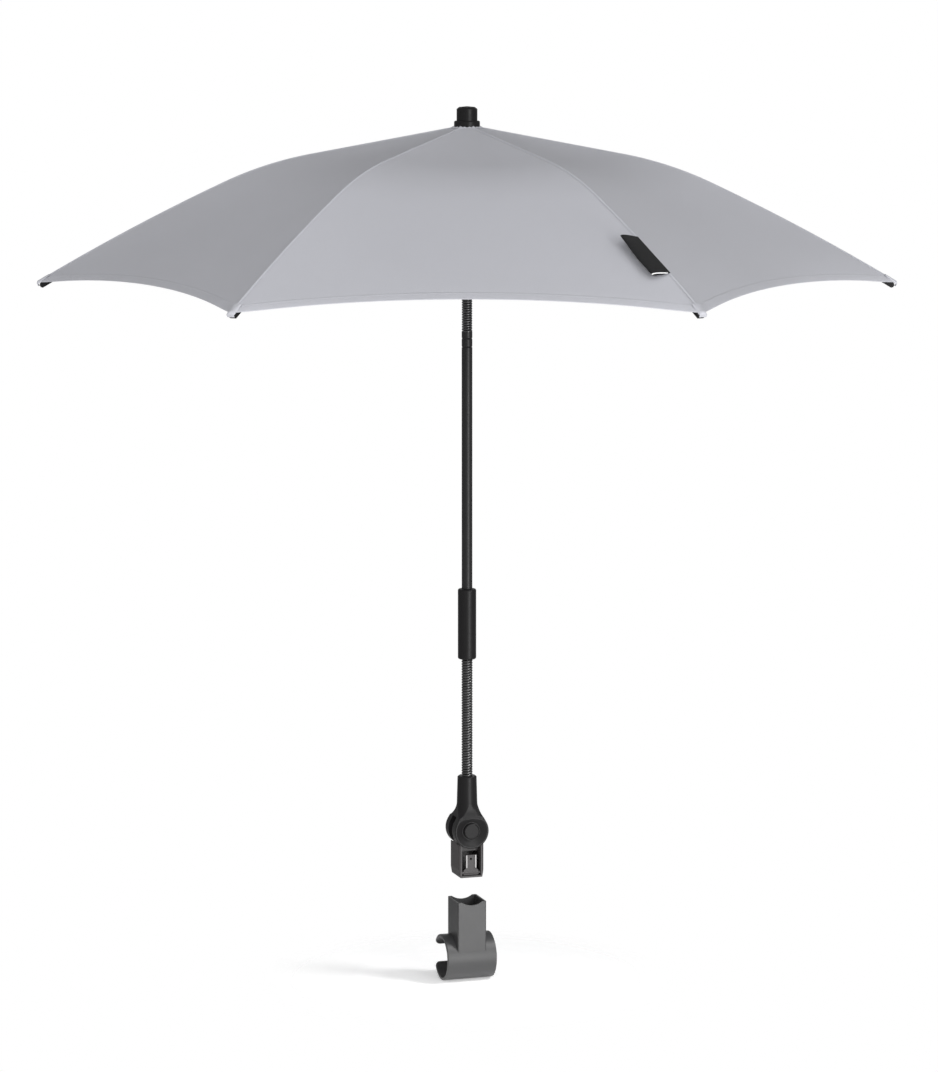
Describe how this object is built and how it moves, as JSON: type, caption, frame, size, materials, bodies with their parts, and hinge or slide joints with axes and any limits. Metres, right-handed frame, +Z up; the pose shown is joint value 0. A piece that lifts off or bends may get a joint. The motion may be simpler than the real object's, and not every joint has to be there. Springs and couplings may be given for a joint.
{
  "type": "pram parasol",
  "caption": "Clip-on parasol: ribbed folding fabric canopy on a mast with two goosenecks, a tilting knuckle with a release button, and a plug for a C-shaped tube clip.",
  "frame": {"origin": "centre of the tube clip's bore", "axes": "+X along the clip's bore, +Z up along the stem, the clip's mouth opens towards +Y"},
  "size_m": [0.7192, 0.7392, 0.7859],
  "materials": {
    "charcoal_plastic": "satin moulded",
    "button_plastic": "satin moulded",
    "black_metal": "glossy black coating",
    "core_rubber": "plain",
    "bright_steel": "drawn",
    "canopy_fabric": "fine plain weave, pale grey",
    "tab_fabric": "fine ribbon weave, black",
    "rib_steel": "dark coating",
    "tip_plastic": "satin moulded"
  },
  "bodies": {
    "clip": {"clip": "charcoal_plastic"},
    "plug": {"plug": "charcoal_plastic"},
    "latch": {"latch_tongue": "charcoal_plastic"},
    "fork": {"fork": "charcoal_plastic", "pivot_pin": "bright_steel", "rear_cap": "charcoal_plastic", "button_spring": "bright_steel", "lower_gooseneck": "black_metal", "lower_core": "core_rubber"},
    "button": {"release_button": "button_plastic"},
    "shaft": {"sleeve": "charcoal_plastic", "shaft_tube": "black_metal", "upper_gooseneck": "black_metal", "upper_core": "core_rubber"},
    "mast": {"mast": "black_metal", "crown": "charcoal_plastic", "crown_pins": "bright_steel", "tip_cap": "charcoal_plastic", "runner_catch": "bright_steel"},
    "runner": {"runner": "charcoal_plastic", "runner_pins": "bright_steel"},
    "rib_1": {"rib_1": "rib_steel", "rib_tip_1": "tip_plastic", "canopy_gore_1": "canopy_fabric", "label_tab": "tab_fabric"},
    "stretcher_1": {"stretcher_1": "rib_steel", "stretcher_rivet_1": "bright_steel"},
    "rib_2": {"rib_2": "rib_steel", "rib_tip_2": "tip_plastic", "canopy_gore_2": "canopy_fabric"},
    "stretcher_2": {"stretcher_2": "rib_steel", "stretcher_rivet_2": "bright_steel"},
    "rib_3": {"rib_3": "rib_steel", "rib_tip_3": "tip_plastic", "canopy_gore_3": "canopy_fabric"},
    "stretcher_3": {"stretcher_3": "rib_steel", "stretcher_rivet_3": "bright_steel"},
    "rib_4": {"rib_4": "rib_steel", "rib_tip_4": "tip_plastic", "canopy_gore_4": "canopy_fabric"},
    "stretcher_4": {"stretcher_4": "rib_steel", "stretcher_rivet_4": "bright_steel"},
    "rib_5": {"rib_5": "rib_steel", "rib_tip_5": "tip_plastic", "canopy_gore_5": "canopy_fabric"},
    "stretcher_5": {"stretcher_5": "rib_steel", "stretcher_rivet_5": "bright_steel"},
    "rib_6": {"rib_6": "rib_steel", "rib_tip_6": "tip_plastic", "canopy_gore_6": "canopy_fabric"},
    "stretcher_6": {"stretcher_6": "rib_steel", "stretcher_rivet_6": "bright_steel"}
  },
  "joints": [
    {"name": "plug_seat", "type": "slide", "parent": "clip", "child": "plug", "axis": [0, 0, 1], "range_m": [-0.0513, 0]},
    {"name": "latch_flex", "type": "hinge", "parent": "plug", "child": "latch", "pos_m": [0, -0.0151, 0.0799], "axis": [-1, 0, 0], "range_deg": [0, 7], "stiffness_Nm_per_rad": 0.4},
    {"name": "knuckle_tilt", "type": "hinge", "parent": "plug", "child": "fork", "pos_m": [0, -0.0045, 0.1181], "axis": [0, 1, 0], "range_deg": [-70, 70]},
    {"name": "button_press", "type": "slide", "parent": "fork", "child": "button", "axis": [0, 1, 0], "range_m": [0, 0.0025], "stiffness_N_per_m": 800, "springref_m": -0.002, "deforming": ["button_spring"]},
    {"name": "lower_bend", "type": "hinge", "parent": "fork", "child": "shaft", "pos_m": [0, -0.0045, 0.21995], "axis": [1, 0, 0], "range_deg": [-60, 60], "deforming": ["lower_gooseneck", "lower_core"]},
    {"name": "upper_tilt", "type": "hinge", "parent": "shaft", "child": "mast", "pos_m": [0, -0.0045, 0.60335], "axis": [1, 0, 0], "range_deg": [0, 60], "deforming": ["upper_gooseneck", "upper_core"]},
    {"name": "canopy_fold", "type": "hinge", "parent": "mast", "child": "rib_1", "pos_m": [0.00187, -0.0133, 0.744], "axis": [-0.9781, -0.2079, 0], "range_deg": [-65, 0], "deforming": ["canopy_gore_1", "runner_catch"]},
    {"name": "rib_2_fold", "type": "hinge", "parent": "mast", "child": "rib_2", "pos_m": [0.00856, -0.00728, 0.744], "axis": [-0.309, -0.9511, 0], "range_deg": [-65, 0], "deforming": ["canopy_gore_2"]},
    {"name": "rib_3_fold", "type": "hinge", "parent": "mast", "child": "rib_3", "pos_m": [0.00669, 0.00152, 0.744], "axis": [0.6691, -0.7431, 0], "range_deg": [-65, 0], "deforming": ["canopy_gore_3"]},
    {"name": "rib_4_fold", "type": "hinge", "parent": "mast", "child": "rib_4", "pos_m": [-0.00187, 0.0043, 0.744], "axis": [0.9781, 0.2079, 0], "range_deg": [-65, 0], "deforming": ["canopy_gore_4"]},
    {"name": "rib_5_fold", "type": "hinge", "parent": "mast", "child": "rib_5", "pos_m": [-0.00856, -0.00172, 0.744], "axis": [0.309, 0.9511, 0], "range_deg": [-65, 0], "deforming": ["canopy_gore_5"]},
    {"name": "rib_6_fold", "type": "hinge", "parent": "mast", "child": "rib_6", "pos_m": [-0.00669, -0.01052, 0.744], "axis": [-0.6691, 0.7431, 0], "range_deg": [-65, 0], "deforming": ["canopy_gore_6"]},
    {"name": "stretcher_1_fold", "type": "hinge", "parent": "rib_1", "child": "stretcher_1", "pos_m": [0.02721, -0.13252, 0.72119], "axis": [-0.9781, -0.2079, 0], "range_deg": [0, 130]},
    {"name": "stretcher_2_fold", "type": "hinge", "parent": "rib_2", "child": "stretcher_2", "pos_m": [0.12448, -0.04494, 0.72119], "axis": [-0.309, -0.9511, 0], "range_deg": [0, 130]},
    {"name": "stretcher_3_fold", "type": "hinge", "parent": "rib_3", "child": "stretcher_3", "pos_m": [0.09727, 0.08308, 0.72119], "axis": [0.6691, -0.7431, 0], "range_deg": [0, 130]},
    {"name": "stretcher_4_fold", "type": "hinge", "parent": "rib_4", "child": "stretcher_4", "pos_m": [-0.02721, 0.12352, 0.72119], "axis": [0.9781, 0.2079, 0], "range_deg": [0, 130]},
    {"name": "stretcher_5_fold", "type": "hinge", "parent": "rib_5", "child": "stretcher_5", "pos_m": [-0.12448, 0.03594, 0.72119], "axis": [0.309, 0.9511, 0], "range_deg": [0, 130]},
    {"name": "stretcher_6_fold", "type": "hinge", "parent": "rib_6", "child": "stretcher_6", "pos_m": [-0.09727, -0.09208, 0.72119], "axis": [-0.6691, 0.7431, 0], "range_deg": [0, 130]},
    {"name": "runner_pivot", "type": "hinge", "parent": "stretcher_1", "child": "runner", "pos_m": [0.00187, -0.0133, 0.69838], "axis": [-0.9781, -0.2079, 0], "range_deg": [-65, 0]}
  ],
  "couplings": [
    {"joint": "rib_2_fold", "follows": "canopy_fold", "ratio": 1},
    {"joint": "rib_3_fold", "follows": "canopy_fold", "ratio": 1},
    {"joint": "rib_4_fold", "follows": "canopy_fold", "ratio": 1},
    {"joint": "rib_5_fold", "follows": "canopy_fold", "ratio": 1},
    {"joint": "rib_6_fold", "follows": "canopy_fold", "ratio": 1},
    {"joint": "stretcher_1_fold", "follows": "canopy_fold", "ratio": -2},
    {"joint": "stretcher_2_fold", "follows": "canopy_fold", "ratio": -2},
    {"joint": "stretcher_3_fold", "follows": "canopy_fold", "ratio": -2},
    {"joint": "stretcher_4_fold", "follows": "canopy_fold", "ratio": -2},
    {"joint": "stretcher_5_fold", "follows": "canopy_fold", "ratio": -2},
    {"joint": "stretcher_6_fold", "follows": "canopy_fold", "ratio": -2},
    {"joint": "runner_pivot", "follows": "canopy_fold", "ratio": 1}
  ]
}
